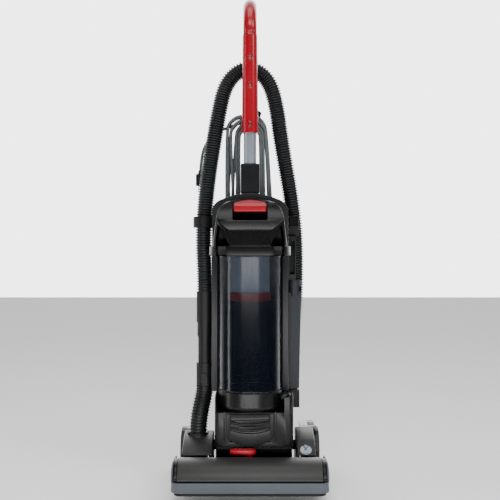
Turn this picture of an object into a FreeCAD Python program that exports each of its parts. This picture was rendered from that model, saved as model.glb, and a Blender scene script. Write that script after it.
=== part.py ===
import FreeCAD, Part
import math
import os
import Sketcher
from FreeCAD import Placement, Rotation, Vector

# Upright vacuum cleaner with a lift-off dust cup, a stretch hose and a cord wound on two hooks.
# Frame: origin on the floor under the middle of the machine, front at -Y, +Z up, millimetres.

SIZES = {
    # nozzle base
    "nozzle_w": 355, "base_len": 330, "sole_low": 20, "sole_t": 4, "wall": 3, "fit_gap": 0.3,
    "bumper_low": 27, "bumper_top": 50, "bumper_t": 5, "bumper_back": -30, "bumper_round": 22,
    "hood_w": 326, "hood_floor": 52.3, "hood_low": 54,
    "hood_crest": 90, "hood_crest_y": -100, "hood_rear_z": 66, "hood_back": -20,
    "cheek_w": 8.5, "fender_front": -61, "fender_back": 52,
    "left_out": -161, "left_in": -89, "left_top": 118, "right_in": 111, "right_out": 155,
    "right_top": 127,
    # wheels, rollers and brush
    "wheel_d": 110, "wheel_w": 42, "axle_y": 110, "axle_d": 8, "tyre_t": 5,
    "roller_d": 20, "roller_w": 20, "roller_y": -98, "roller_left": -63, "roller_right": 86,
    "carriage_y": -70, "carriage_z": 33.5, "brush_y": -134, "brush_z": 38, "brush_d": 38,
    "core_d": 24, "brush_len": 296, "belt_x": 131, "belt_w": 8, "belt_t": 2, "pulley_d": 11,
    # recline pivot and motor
    "pivot_y": 40, "pivot_z": 83, "drum_d": 104, "trunnion_d": 24, "bush_t": 3,
    "motor_d": 84, "motor_len": 105, "shaft_d": 8, "fan_d": 80,
    # upright body
    "low_left": -83, "low_right": 102, "low_front": -70, "low_floor": 104, "back_y": 72,
    "shoulder_z": 222, "bay_z": 186, "rail_w": 187.2, "rail_y": 30, "back_w": 140,
    "arch_top": 706, "arch_spring": 640, "upper_front": 20,
    # dust cup, lid and filters
    "cup_y": -12, "cup_d": 154, "cup_wall": 2.5, "cup_low": 233, "cup_top": 552,
    "lid_w": 194, "lid_rim": 23, "lid_front": -92, "lid_back": 18, "lid_shelf": 622, "lid_top": 689,
    "filter_d": 95, "filter_low": 464, "ring_d": 102, "ring_low": 445, "lid_travel": 120,
    # handle
    "stem_y": 43, "socket_w": 46, "socket_d": 42, "socket_top": 778, "stem_d": 31, "stem_t": 1.5,
    "handle_low": 857, "handle_top": 1098, "handle_d": 41, "handle_top_d": 37, "grip_d": 34,
    # hose, wand and tools
    "hose_d": 42, "wand_x": -112, "wand_y": 42, "wand_d": 34, "cuff_d": 42, "cuff_top": 462,
    "cuff_low": 387, "neck_low": 352, "socket_rim": 287, "duct_top": 232, "duct_x": -128,
    "duct_y": 23, "duct_d": 43, "tool_x": 110, "tool_low": 224, "tool_neck": 452, "tool_high": 492,
    "caddy_low": 600, "caddy_top": 650,
    # power cord
    "cord_d": 8, "hank_z": 730, "hank_out_w": 133, "hank_out_h": 364, "hank_in_w": 44,
    "hank_in_h": 288, "hank_front": 75.5, "hank_back": 111.5, "hook_d": 12,
}

doc = FreeCAD.newDocument("UprightVacuum")
sheet = doc.addObject("Spreadsheet::Sheet", "Sheet")
for row, (alias, value) in enumerate(SIZES.items(), start=1):
    sheet.set(f"A{row}", alias)
    sheet.set(f"B{row}", str(value))
    sheet.setAlias(f"B{row}", alias)
doc.recompute()


class Size:
    """A length that carries its value and the sheet formula that gives it."""

    def __init__(self, value, formula):
        self.value, self.formula = value, formula

    def __float__(self):
        return float(self.value)

    def _with(self, other, sign, first):
        a, b = (self, other) if first else (other, self)
        left, right = float(a), float(b)
        value = {"+": left + right, "-": left - right, "*": left * right,
                 "/": left / right if right else 0.0}[sign]
        return Size(value, f"({text_of(a)} {sign} {text_of(b)})")

    def __add__(self, other):
        return self._with(other, "+", True)

    def __radd__(self, other):
        return self._with(other, "+", False)

    def __sub__(self, other):
        return self._with(other, "-", True)

    def __rsub__(self, other):
        return self._with(other, "-", False)

    def __mul__(self, other):
        return self._with(other, "*", True)

    def __rmul__(self, other):
        return self._with(other, "*", False)

    def __truediv__(self, other):
        return self._with(other, "/", True)

    def __neg__(self):
        return Size(-self.value, f"(-1 * {self.formula})")


def text_of(value):
    """The formula of a Size, or a plain number as text."""
    return value.formula if isinstance(value, Size) else f"{float(value):.6g}"


class Dims:
    """Reads the sheet's cells as Size values: dim.wheel_d and so on."""

    def __getattr__(self, alias):
        return Size(float(SIZES[alias]), f"Sheet.{alias}")


dim = Dims()
nodes = {}


def bind(obj, prop, value):
    """Set a property, by expression where the value comes from the sheet."""
    if isinstance(value, Size):
        obj.setExpression(prop, value.formula)
    else:
        obj.setExpression(prop, f"{float(value):.6g}")


def move(obj, x, y, z, turn=None):
    """Place an object, its corner or centre bound to the sheet."""
    obj.Placement = Placement(Vector(float(x), float(y), float(z)), turn or Rotation())
    for axis, value in zip("xyz", (x, y, z)):
        if isinstance(value, Size):
            obj.setExpression(f"Placement.Base.{axis}", value.formula)
    return obj


def box(x0, x1, y0, y1, z0, z1):
    """A block between two corners."""
    block = doc.addObject("Part::Box", "block")
    for prop, value in (("Length", x1 - x0), ("Width", y1 - y0), ("Height", z1 - z0)):
        bind(block, prop, value)
    return move(block, x0, y0, z0)


TURNS = {"X": Rotation(Vector(0, 1, 0), 90), "Y": Rotation(Vector(1, 0, 0), -90), "Z": Rotation()}


def rod(axis, u, v, low, high, diameter, top=None):
    """A cylinder or cone along an axis; (u, v) are its other two coordinates in order."""
    if top is None:
        shape = doc.addObject("Part::Cylinder", "rod")
        bind(shape, "Radius", diameter / 2)
    else:
        shape = doc.addObject("Part::Cone", "taper")
        bind(shape, "Radius1", diameter / 2)
        bind(shape, "Radius2", top / 2)
    bind(shape, "Height", high - low)
    place = {"X": (low, u, v), "Y": (u, low, v), "Z": (u, v, low)}[axis]
    return move(shape, *place, TURNS[axis])


def ring(axis, u, v, low, high, outer, inner):
    """A tube along an axis."""
    return cut(rod(axis, u, v, low, high, outer), rod(axis, u, v, low - 1, high + 1, inner))


def fuse(*parts):
    """Join pieces into one solid, or gather separate ones as a group."""
    joined = doc.addObject("Part::MultiFuse", "joined")
    joined.Shapes = list(parts)
    joined.Refine = True
    return joined


def cut(base, *tools):
    """Take the tools out of the base."""
    result = doc.addObject("Part::Cut", "cut")
    result.Base = base
    result.Tool = tools[0] if len(tools) == 1 else fuse(*tools)
    return result


def common(*parts):
    """What all the pieces share."""
    shared = doc.addObject("Part::MultiCommon", "shared")
    shared.Shapes = list(parts)
    return shared


def ease(base, radius, wanted):
    """Round the edges that the test picks."""
    doc.recompute()
    picked = [i for i, edge in enumerate(base.Shape.Edges, start=1) if wanted(edge)]
    rounded = doc.addObject("Part::Fillet", "rounded")
    rounded.Base = base
    rounded.Edges = [(i, radius, radius) for i in picked]
    return rounded


def runs_along(axis, where=lambda middle: True):
    """A test for straight edges parallel to an axis whose middle passes a second test."""
    direction = {"X": Vector(1, 0, 0), "Y": Vector(0, 1, 0), "Z": Vector(0, 0, 1)}[axis]

    def test(edge):
        if edge.Curve.TypeId != "Part::GeomLine" or len(edge.Vertexes) != 2:
            return False
        ends = edge.Vertexes[0].Point, edge.Vertexes[1].Point
        line = (ends[1] - ends[0]).normalize()
        return abs(line.dot(direction)) > 0.999 and where((ends[0] + ends[1]) * 0.5)
    return test


PLANES = {"Z": "XY_Plane", "Y": "XZ_Plane", "X": "YZ_Plane"}


def draw(body, plane, outline):
    """A closed sketch. Each item is a corner (u, v) or an arc to a corner (mid u, mid v, u, v)."""
    sketch = body.newObject("Sketcher::SketchObject", "outline")
    origin = [f for f in body.Origin.OriginFeatures if f.Role == plane][0]
    sketch.AttachmentSupport = [(origin, "")]
    sketch.MapMode = "FlatFace"
    corners = [item[-2:] for item in outline]
    points = [Vector(float(u), float(v), 0) for u, v in corners]
    for i, item in enumerate(outline):
        start, end = points[i - 1], points[i]
        if len(item) == 4:
            middle = Vector(float(item[0]), float(item[1]), 0)
            sketch.addGeometry(Part.Arc(start, middle, end), False)
        else:
            sketch.addGeometry(Part.LineSegment(start, end), False)
    # an arc may be stored end first, so each end is matched by its place
    for i, (u, v) in enumerate(corners):
        here = nearest_end(sketch, i, points[i])
        after = nearest_end(sketch, (i + 1) % len(corners), points[i])
        sketch.addConstraint(Sketcher.Constraint("Coincident", *here, *after))
        for kind, letter, value in (("DistanceX", "u", u), ("DistanceY", "v", v)):
            if isinstance(value, Size):
                rule = sketch.addConstraint(Sketcher.Constraint(kind, -1, 1, *here, float(value)))
                sketch.renameConstraint(rule, f"{letter}{i}")
                sketch.setExpression(f"Constraints.{letter}{i}", value.formula)
    return sketch


def nearest_end(sketch, index, point):
    """The edge number and end number of the sketch edge's end that lies on a point."""
    edge = sketch.Geometry[index]
    gaps = [(end - point).Length for end in (edge.StartPoint, edge.EndPoint)]
    return index, 1 if gaps[0] < gaps[1] else 2


def slab(axis, outline, low, high):
    """An outline padded along an axis from low to high. On Y the outline is (x, z)."""
    body = doc.addObject("PartDesign::Body", "slab")
    sketch = draw(body, PLANES[axis], outline)
    shift = -high if axis == "Y" else low
    bind(sketch, "AttachmentOffset.Base.z", shift)
    pad = body.newObject("PartDesign::Pad", "pad")
    pad.Profile = sketch
    bind(pad, "Length", high - low)
    return body


def turned(axis, x, y, z, outline):
    """An outline of (radius, height) turned once round, its axis laid along X, Y or Z."""
    body = doc.addObject("PartDesign::Body", "turned")
    sketch = draw(body, "XZ_Plane", outline)
    spin = body.newObject("PartDesign::Revolution", "spin")
    spin.Profile = sketch
    spin.ReferenceAxis = (sketch, ["V_Axis"])
    spin.Angle = 360
    return move(body, x, y, z, TURNS[axis])


def node(name, obj):
    """Name a finished piece."""
    obj.Label = name
    nodes[name] = obj
    return obj


def tube_path(points):
    """Straight runs joined by tangent arcs, each arc as large as its two runs allow."""
    corners = [Vector(*point) for point in points]
    edges, radii, start = [], [], corners[0]
    for before, corner, after in zip(corners, corners[1:], corners[2:]):
        into, out = corner - before, after - corner
        reach = 0.45 * min(into.Length, out.Length)
        half_turn = into.getAngle(out) / 2
        radii.append(reach / math.tan(half_turn))
        a, b = corner - into.normalize() * reach, corner + out.normalize() * reach
        inward = ((a + b) * 0.5 - corner).normalize()
        middle = corner + inward * radii[-1] * (1 / math.cos(half_turn) - 1)
        edges += [Part.LineSegment(start, a).toShape(), Part.Arc(a, middle, b).toShape()]
        start = b
    edges.append(Part.LineSegment(start, corners[-1]).toShape())
    return Part.Wire(edges), radii


def route_tube(name, points, diameter):
    """A round tube along a route, as one solid."""
    path, radii = tube_path(points)
    first = Vector(*points[1]) - Vector(*points[0])
    circle = Part.Wire(Part.makeCircle(float(diameter) / 2, Vector(*points[0]), first))
    solid = Part.Solid(path.makePipeShell([circle], True, False))
    section = math.pi * float(diameter) ** 2 / 4
    print(f"{name}: length {path.Length:.0f}, radii {min(radii):.0f} to {max(radii):.0f},"
          f" volume ratio {solid.Volume / (section * path.Length):.4f}")
    piece = doc.addObject("Part::Feature", name)
    piece.Shape = solid
    piece.Placement = Placement()
    return node(name, piece)


# ---- driving places worked out from the sheet

half_w = dim.nozzle_w / 2
front = -dim.base_len / 2
sole_top = dim.sole_low + dim.sole_t
gap = dim.fit_gap
pivot = (dim.pivot_y, dim.pivot_z)
brush = (dim.brush_y, dim.brush_z)
belt_end = dim.belt_x + dim.belt_w
stem = (0, dim.stem_y)
wand = (dim.wand_x, dim.wand_y)


# ---- nozzle base

def frame_outline(side, front_y, back_y, radius):
    """Plan of the nozzle: square at the back, two round front corners."""
    bend = radius * (1 - math.sqrt(0.5))
    return [(side, back_y), (-side, back_y), (-side, front_y + radius),
            (-side + bend, front_y + bend, -side + radius, front_y), (side - radius, front_y),
            (side - bend, front_y + bend, side, front_y + radius)]


def make_bumper():
    low, high = dim.bumper_low, dim.bumper_top
    outer = slab("Z", frame_outline(half_w, front, dim.bumper_back, dim.bumper_round), low, high)
    side = half_w - dim.bumper_t
    inner = slab("Z", frame_outline(side, front + dim.bumper_t + 1, dim.bumper_back + 1,
                                    dim.bumper_round - dim.bumper_t), low - 1, high + 1)
    node("bumper", cut(outer, inner))


def windows(low, high):
    """The openings of the underside: two for the rollers and one for the belt."""
    half = dim.roller_w / 2 + 7
    rollers = [box(x - half, x + half, -116, -62, low, high)
               for x in (dim.roller_left, dim.roller_right)]
    return rollers + [box(dim.belt_x - 4, belt_end + 4, -114, -66, low, high)]


def make_sole_plate():
    plate = slab("Z", frame_outline(half_w - 7, front + 6, -20, 16), dim.sole_low, sole_top)
    slot = box(-153.5, 153.5, dim.brush_y - 21.8, dim.brush_y + 21.8, dim.sole_low - 1, sole_top + 1)
    node("sole_plate", cut(plate, slot, *windows(dim.sole_low - 1, sole_top + 1)))


def make_chassis():
    """Tray with the brush tunnel, the two side cheeks for pivot and axle, and the pin lugs."""
    low = sole_top
    floor = box(-160, 160, -112, 52, low, low + 4)
    tail = box(-101, 122, 50, 100, low, low + 4)
    tunnel = slab("Z", frame_outline(168, -158.5, -110, 16), low, 50)
    side_shape = [(10, low + 3), (122, low + 3), (122, 66), (98, 72), (64, 105), (15, 105)]
    cheeks = [slab("X", side_shape, x0, x1) for x0, x1 in ((-101, -93), (114, 122))]
    lugs = [box(x, x + 7, -76, -64, low + 3, 39) for x in (-88, 104)]
    tray = fuse(floor, tail, tunnel, *cheeks, *lugs)
    bore = dim.trunnion_d + 2 * dim.bush_t + 0.1
    holes = [rod("X", *brush, -153, 153, 43),
             rod("X", *pivot, -110, 130, bore),
             rod("X", dim.axle_y, dim.wheel_d / 2, -110, 130, dim.axle_d + 0.1),
             rod("X", dim.carriage_y, dim.carriage_z, -90, 112, 4.05),
             rod("X", 74, 97, 110, 130, 5.05),
             box(-149, -109, -120, -105, 29, 49),
             box(dim.belt_x - 4, belt_end + 4, -125, -105, low - 1, 51)]
    node("base_chassis", cut(tray, *holes, *windows(low - 1, 40)))


def hood_outline(inset, low, back):
    """Side view of the hood: sloping down behind the crest, convex down to the front."""
    y0, top = front + 5 + inset, dim.hood_crest - inset
    run = back - dim.hood_crest_y
    fall = run * (dim.hood_crest - dim.hood_rear_z) / (dim.hood_back - dim.hood_crest_y)
    return [(back, low), (back, top - fall),
            (back - run / 2, top - fall * 0.46, dim.hood_crest_y, top),
            (y0 + 21, top - 11, y0, dim.hood_low + inset), (y0, low)]


def make_hood():
    """Glossy top cover: full width in front, and a deck that runs back between the fenders."""
    side, wall = dim.hood_w / 2, dim.wall
    shell = cut(slab("X", hood_outline(0, dim.hood_floor, dim.hood_back), -side, side),
                slab("X", hood_outline(wall, 50, dim.hood_back + 1), wall - side, side - wall))
    beside = [box(-side - 1, dim.left_in + 1, dim.fender_front - 0.4, 0, 50, 95),
              box(dim.right_in - 1, side + 1, dim.fender_front - 0.4, 0, 50, 95)]
    stem_hole = rod("Z", 0, -75, 70, 95, 10.6)
    node("nozzle_hood", cut(shell, *beside, stem_hole))


def make_cheeks():
    """Black end caps of the hood, one each side."""
    inner = dim.hood_w / 2 + gap
    left = slab("X", hood_outline(2, dim.hood_floor, dim.fender_front), -inner - dim.cheek_w, -inner)
    right = slab("X", hood_outline(2, dim.hood_floor, dim.fender_front), inner, inner + dim.cheek_w)
    node("hood_end_caps", fuse(left, right))


def fender_outline(top, inset):
    """Side view of a fender: it rises from the hood, crowns over the pivot and drops behind."""
    y0, y1 = dim.fender_front, dim.fender_back
    high = top - inset
    return [(y1 - inset, 28.3), (y1 - inset, high - 12), (y1 - inset - 5, high - 4, 30, high),
            (0, high - 6, -30, high - 17), (y0, dim.hood_crest - 4 - inset), (y0, 28.3)]


def make_fenders():
    wall = dim.wall
    sides = (("fender_left", dim.left_out, dim.left_in, dim.left_top),
             ("fender_right", dim.right_in, dim.right_out, dim.right_top))
    for name, x0, x1, top in sides:
        outer = slab("X", fender_outline(top, 0), x0, x1)
        inner = slab("X", fender_outline(top, wall), x0 + wall, x1 - wall)
        mouth = box(x0 + wall, x1 - wall, dim.fender_front - 1, -40, 28, 85.5)
        holes = [rod("X", *pivot, dim.left_in - 4, dim.right_in + 4, dim.trunnion_d + 3)]
        if name == "fender_left":
            holes.append(rod("Z", dim.duct_x, dim.duct_y, 100, 130, dim.duct_d + 7))
            holes.append(box(-105, dim.left_in - wall, 45, 53, 28, 105.5))
        else:
            holes.append(box(110, 126, 45, 53, 28, 105.5))
        low_cut = box(x0 - 1, x1 + 1, dim.fender_front - 1, 53, 27, 28.5)
        node(name, cut(outer, inner, mouth, low_cut, *holes))


def make_duct_elbow():
    """Suction duct from the brush tunnel to the hose on the left fender."""
    pipe = rod("Z", dim.duct_x, dim.duct_y, 40, dim.left_top, dim.duct_d + 5)
    elbow = fuse(box(-149, -109.5, -109.7, 54 - 5, 29, 58), pipe)
    hollow = [box(-146, -112, -111, 46, 32, 55),
              rod("Z", dim.duct_x, dim.duct_y, 45, dim.left_top + 1, dim.duct_d - 3)]
    node("suction_duct", cut(elbow, *hollow))


def make_brush():
    half = dim.brush_len / 2
    core = fuse(rod("X", *brush, -half, half, dim.core_d), rod("X", *brush, -half - 4, half + 4, 6))
    core = cut(core, ring("X", *brush, dim.belt_x - 1, belt_end + 1, dim.core_d + 2, 15))
    node("brush_core", core)
    strips = []
    for quarter in range(4):
        strip = box(-half + 3, dim.belt_x - 8, -1.6, 1.6, dim.core_d / 2 + 0.05, dim.brush_d / 2)
        turn = Rotation(Vector(1, 0, 0), 90 * quarter + 45)
        carrier = doc.addObject("Part::Compound", "strip")
        carrier.Links = [strip]
        strips.append(move(carrier, 0, *brush, turn))
    node("brush_bristles", fuse(*strips))
    ends = [ring("X", *brush, x0, x1, 42.8, 6.1) for x0, x1 in
            ((-half - 4.8, -half - 0.4), (half + 0.4, half + 4.8))]
    above = box(-160, 160, -160, -100, dim.sole_low + 0.5, 60)
    node("brush_bearings", common(fuse(*ends), above))


def belt_loop(offset):
    """Side outline of the belt round the motor pulley and the brush, grown by an offset."""
    small, big = float(dim.pulley_d) / 2 + offset, 7.5 + offset
    a = Vector(float(dim.pivot_y), float(dim.pivot_z), 0)
    b = Vector(float(dim.brush_y), float(dim.brush_z), 0)
    along = (b - a).normalize()
    across = Vector(-along.y, along.x, 0)
    lean = math.asin((small - big) / (b - a).Length)
    up = across * math.cos(lean) + along * math.sin(lean)
    down = -across * math.cos(lean) + along * math.sin(lean)
    p = [a + up * small, a - along * small, a + down * small,
         b + down * big, b + along * big, b + up * big]
    return [(p[3].x, p[3].y), (p[4].x, p[4].y, p[5].x, p[5].y), (p[0].x, p[0].y),
            (p[1].x, p[1].y, p[2].x, p[2].y)]


def make_belt():
    x0, x1 = dim.belt_x, belt_end
    node("drive_belt", cut(slab("X", belt_loop(2.1), x0, x1), slab("X", belt_loop(0.1), x0 - 1, x1 + 1)))


def make_rear_wheels():
    """Two wheels closed by domed caps, turning on a fixed through axle."""
    edge = half_w - 2.6
    centre = (dim.axle_y, dim.wheel_d / 2)
    for side, sign in (("left", -1), ("right", 1)):
        faces = (edge - dim.wheel_w) * sign, edge * sign
        bore_end = (edge - 6) * sign, (edge - dim.wheel_w - 1) * sign
        disc = rod("X", *centre, *sorted(faces, key=float), dim.wheel_d)
        disc = ease(disc, 6, lambda e: e.Curve.TypeId == "Part::GeomCircle"
                    and abs(e.CenterOfMass.x) > 160)
        bore = rod("X", *centre, *sorted(bore_end, key=float), dim.axle_d + 0.1)
        node(f"rear_wheel_{side}", cut(disc, bore))
    node("rear_axle", rod("X", *centre, 8.5 - edge, edge - 8.5, dim.axle_d))


def make_rollers():
    """Two front rollers on one axle, carried by a small frame that hinges on its own pin."""
    y, r = dim.roller_y, dim.roller_d / 2
    arms, wheels = [], []
    for x in (dim.roller_left, dim.roller_right):
        arm = [(-65.5, 33.5), (-70, 38), (-74.5, 36.5), (-102.5, 14), (-102.5, 6), (-93.5, 6)]
        arms += [slab("X", arm, x - 14, x - 11), slab("X", arm, x + 11, x + 14)]
        half = dim.roller_w / 2
        wheels.append(rod("X", y, r, x - half, x + half, dim.roller_d))
    hinge = (dim.carriage_y, dim.carriage_z)
    holes = [rod("X", y, r, -90, 110, 3.1), rod("X", *hinge, -90, 110, 4.1)]
    node("roller_carriage", cut(fuse(rod("X", *hinge, -80, 103, 9), *arms), *holes))
    axle = rod("X", y, r, dim.roller_left - 16, dim.roller_right + 16, 3)
    node("front_rollers", fuse(axle, *wheels))


def make_height_knob():
    """Teardrop dial on the hood, with the stem and cam that press the roller carriage."""
    y, low, high = -75, dim.hood_crest + 1, dim.hood_crest + 11
    plate = slab("Z", [(9.9, y - 9.9), (14, y, 9.9, y + 9.9), (-3, y + 13.6),
                       (-44, y + 5), (-47, y, -44, y - 5), (-3, y - 13.6)], low, high)
    stem_rod = rod("Z", 0, y, 41, low + 1, 10)
    node("height_knob", fuse(plate, stem_rod, rod("Z", 0, y, 41, 46, 22)))


def make_pedal():
    """Handle release pedal behind the right fender, its pin and its spring."""
    pin = (74, 97)
    wedge = slab("Y", [(126.2, 105), (168, 105), (168, 122), (152, 122.5), (126.2, 117)], 60, 145)
    pad = common(slab("X", [(66, 113), (140, 115), (140, 120), (100, 123), (66, 121)], 126.2, 168), wedge)
    arm = slab("X", [(68, 91), (80, 91), (84, 116), (66, 116)], 123.2, 128.5)
    node("release_pedal", cut(fuse(pad, arm), rod("X", *pin, 120, 130, 5.1)))
    carriage_pin = rod("X", dim.carriage_y, dim.carriage_z, -88, 111, 4)
    node("hinge_pins", fuse(rod("X", *pin, 114, 132.5, 5), carriage_pin))
    coils = []
    for k in range(2):
        coil = doc.addObject("Part::Torus", "coil")
        coil.Radius1, coil.Radius2 = 4.4, 0.8
        coils.append(move(coil, 129.9 + 1.4 * k, *pin, TURNS["X"]))
    node("pedal_spring", fuse(*coils))


def make_bushes():
    outer = dim.trunnion_d + 2 * dim.bush_t
    bores = ((-101, -93), (114, 122))
    node("pivot_bushes", fuse(*[ring("X", *pivot, x0, x1, outer, dim.trunnion_d + 0.1)
                                for x0, x1 in bores]))


# ---- upright body

def make_lower_housing():
    """Black motor housing: a drum on the pivot, a box above it, and the bay for the cup."""
    x0, x1, wall = dim.low_left, dim.low_right, dim.wall
    low, high = dim.low_floor, dim.shoulder_z
    shell = box(x0, x1, dim.low_front, dim.back_y, low, high)
    shell = ease(shell, 12, runs_along("Z", lambda p: p.y < 0))
    outer = fuse(shell, rod("X", *pivot, x0, x1, dim.drum_d))
    inside = [box(x0 + wall, x1 - wall, dim.low_front + wall, dim.back_y - wall, low + wall,
                  dim.bay_z - wall),
              rod("X", *pivot, x0 + wall, x1 - wall, dim.drum_d - 2 * wall)]
    bay_d = dim.cup_d + 5
    bay = [rod("Z", 0, dim.cup_y, dim.bay_z, high + 1, bay_d),
           box(-bay_d / 2, bay_d / 2, dim.low_front - 1, dim.cup_y, dim.bay_z, high + 1)]
    window = box(-46, 46, dim.low_front - 1, dim.low_front + wall + 1, 117, 181)
    hub_left = rod("X", *pivot, -101, x0 + 1, dim.trunnion_d)
    hub_right = rod("X", *pivot, x1 - 1, 122, dim.trunnion_d)
    way = rod("X", *pivot, x1 - wall - 2, 123, 13)
    node("motor_housing", cut(fuse(cut(outer, *inside), hub_left, hub_right), *bay, window, way))


def make_motor():
    d, half = dim.motor_d, dim.motor_len / 2
    can = cut(rod("X", *pivot, -half, half, d), rod("X", *pivot, 4 - half, half - 4, d - 10),
              rod("X", *pivot, -half - 1, half + 1, dim.shaft_d + 0.1))
    node("motor_case", can)
    shaft = rod("X", *pivot, -79, belt_end + 2, dim.shaft_d)
    pulley = rod("X", *pivot, dim.belt_x - 1, belt_end + 1, dim.pulley_d)
    node("motor_rotor", fuse(shaft, rod("X", *pivot, -38, 38, 48), pulley))
    node("motor_fan", ring("X", *pivot, -75, -58, dim.fan_d, dim.shaft_d + 0.06))
    node("exhaust_filter", box(-45, 45, dim.low_front + 4.2, -45, 118, 180))


def make_exhaust_door():
    """Front panel over the exhaust filter, with a finger recess and two smiling lips."""
    y1, y0 = dim.low_front - gap, dim.low_front - 6
    smile = [(55, 184), (-55, 184), (-55, 128), (0, 108, 55, 128)]
    panel = slab("Y", smile, y0, y1)
    recess = slab("Y", [(45, 183), (-45, 183), (-45, 146), (0, 138, 45, 146)], y0 - 1, y0 + 3)
    lips = []
    for z in (153, 168):
        bow = [(44.9, z + 3), (0, z - 5, -44.9, z + 3), (-44.9, z), (0, z - 8, 44.9, z)]
        lips.append(slab("Y", bow, y0 + 0.6, y0 + 3.1))
    hinge = (-74, 110.5)
    swing_room = slab("X", [(y1 + 0.1, 111), (y1 + 0.1, 107), (y1 - 3, 107)], -56, 56)
    pin = rod("X", *hinge, -20, 20, 4)
    node("exhaust_door", fuse(cut(panel, recess, swing_room), *lips, pin))


def arch_outline(inset, low):
    """Front view of the rear housing: straight sides and a low round arch."""
    side, top, spring = dim.rail_w / 2 - inset, dim.arch_top - inset, dim.arch_spring
    knee = side * 0.72
    return [(side, low), (side, spring), (side * 0.94, spring + 38 - inset / 2, knee, top - 14),
            (0, top, -knee, top - 14), (-side * 0.94, spring + 38 - inset / 2, -side, spring),
            (-side, low)]


def rear_plan(inset):
    """Plan of the rear housing: full width in front and drawn in at the back corners."""
    side, back, narrow = dim.rail_w / 2 - inset, dim.back_y - inset, dim.back_w / 2 - inset / 2
    return [(side, 0), (side, dim.rail_y), (narrow, back), (-narrow, back), (-side, dim.rail_y),
            (-side, 0)]


def make_rear_housing():
    """Spine behind the cup, carrying the handle, the hose port and the cord hooks."""
    low, top = dim.shoulder_z + gap, dim.arch_top
    outer = common(slab("Y", arch_outline(0, low), -1, dim.back_y + 1),
                   slab("Z", rear_plan(0), low - 1, top + 1))
    inner = common(slab("Y", arch_outline(4, 590), dim.upper_front + 4, dim.back_y - 4),
                   slab("Z", rear_plan(4), 580, top))
    bay = rod("Z", 0, dim.cup_y, low - 1, dim.cup_top, dim.cup_d + 5)
    step = box(-100, 100, -2, dim.upper_front, dim.cup_top, top + 1)
    filter_way = rod("Z", 0, dim.cup_y, dim.cup_top, dim.cup_top + dim.lid_travel + 2, dim.ring_d + 3)
    stem_hole = rod("Z", *stem, 690, top + 1, dim.stem_d + 0.4)
    boss = box(-66, -38, dim.back_y - 2, 102, 498, 520)
    boss = ease(boss, 5, runs_along("Z", lambda p: p.y > 90))
    shafts = [rod("Z", x, 46, 230, 584, 30) for x in (-66, 66)]
    spine = cut(outer, inner, bay, step, filter_way, stem_hole, *shafts)
    node("rear_housing", fuse(spine, boss))


def make_cup():
    """Clear dust cup: an open tube over an opaque base bowl."""
    r = dim.cup_d / 2
    node("dust_cup", ring("Z", 0, dim.cup_y, dim.cup_low, dim.cup_top, dim.cup_d,
                          dim.cup_d - 2 * dim.cup_wall))
    z0 = dim.bay_z + 1
    bowl = turned("Z", 0, dim.cup_y, 0, [(r, dim.cup_low), (0, dim.cup_low), (0, z0), (r - 14, z0),
                                         (r - 3, z0 + 4, r, z0 + 16)])
    hollow = rod("Z", 0, dim.cup_y, z0 + 4, dim.cup_low + 1, dim.cup_d - 12)
    node("cup_base", cut(bowl, hollow))
    cone = ring("Z", 0, dim.cup_y, dim.filter_low, dim.cup_top, dim.filter_d, dim.filter_d - 24)
    cap = rod("Z", 0, dim.cup_y, dim.ring_low, dim.filter_low, dim.ring_d)
    node("filter_cartridge", fuse(cone, cap))


def lid_side(inset, low):
    """Side view of the lid: upright face, shelf line, then a slope up to the back."""
    y0, y1, top = dim.lid_front + inset, dim.lid_back - inset, dim.lid_top - inset
    return [(y1, low), (y1, top - 4), (y1 - 12, top, -12, top - 1),
            (y0 + 12, dim.lid_shelf + 6 - inset, y0 + 4, dim.lid_shelf - 10), (y0, 577), (y0, low)]


def lid_front(inset, low):
    """Front view of the lid body above its rim, drawn in towards an arched top."""
    top = dim.lid_top - inset
    return [(88 - inset, low), (88 - inset, 576), (82 - inset, dim.lid_shelf), (78 - inset, 650),
            (68, 672, 50, top - 5), (0, top + 2, -50, top - 5), (-68, 672, inset - 78, 650),
            (inset - 82, dim.lid_shelf), (inset - 88, 576), (inset - 88, low)]


def lid_plan(inset):
    """Plan of the lid: a full round front and square back corners."""
    side, y0, y1 = dim.lid_w / 2 - inset, dim.lid_front + inset, dim.lid_back - inset
    return [(side, y1), (-side, y1), (-side, -30), (-side * 0.8, y0 + 17, -side * 0.4, y0 + 1.5),
            (0, y0 - 1, side * 0.4, y0 + 1.5), (side * 0.8, y0 + 17, side, -30)]


def make_lid():
    rim_low = dim.cup_top + gap
    rim_top = dim.cup_top + dim.lid_rim
    rim = slab("Z", lid_plan(0), rim_low, rim_top)
    crown = common(slab("X", lid_side(1, rim_low), -90, 90),
                   slab("Y", lid_front(0, rim_low), -100, 30),
                   slab("Z", lid_plan(2), rim_low, 700))
    hollow = common(slab("X", lid_side(5, rim_low - 1), -80, 80),
                    slab("Y", lid_front(6, rim_low - 1), -90, 12))
    recess = box(-40, 40, -100, -22, 636, 700)
    filter_hole = rod("Z", 0, dim.cup_y, rim_low - 1, rim_low + 6, dim.filter_d)
    pocket = box(-42, 42, -102, -18, 632, 700)
    body = cut(fuse(rim, crown), cut(hollow, pocket), recess, filter_hole)
    node("cup_lid", body)
    arch = slab("Y", [(38, 650), (38, 676), (0, 685, -38, 676), (-38, 650)], -70, -20)
    paddle = slab("X", [(-30, 690), (-46, 686), (-62, 670), (-62, 657), (-57, 655), (-48, 663),
                        (-30, 668)], -38, 38)
    node("cup_latch", common(arch, paddle))
    spring = ring("Y", 0, 674, -29.8, -22.2, 9, 6)
    node("latch_spring", spring)


# ---- handle

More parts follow.
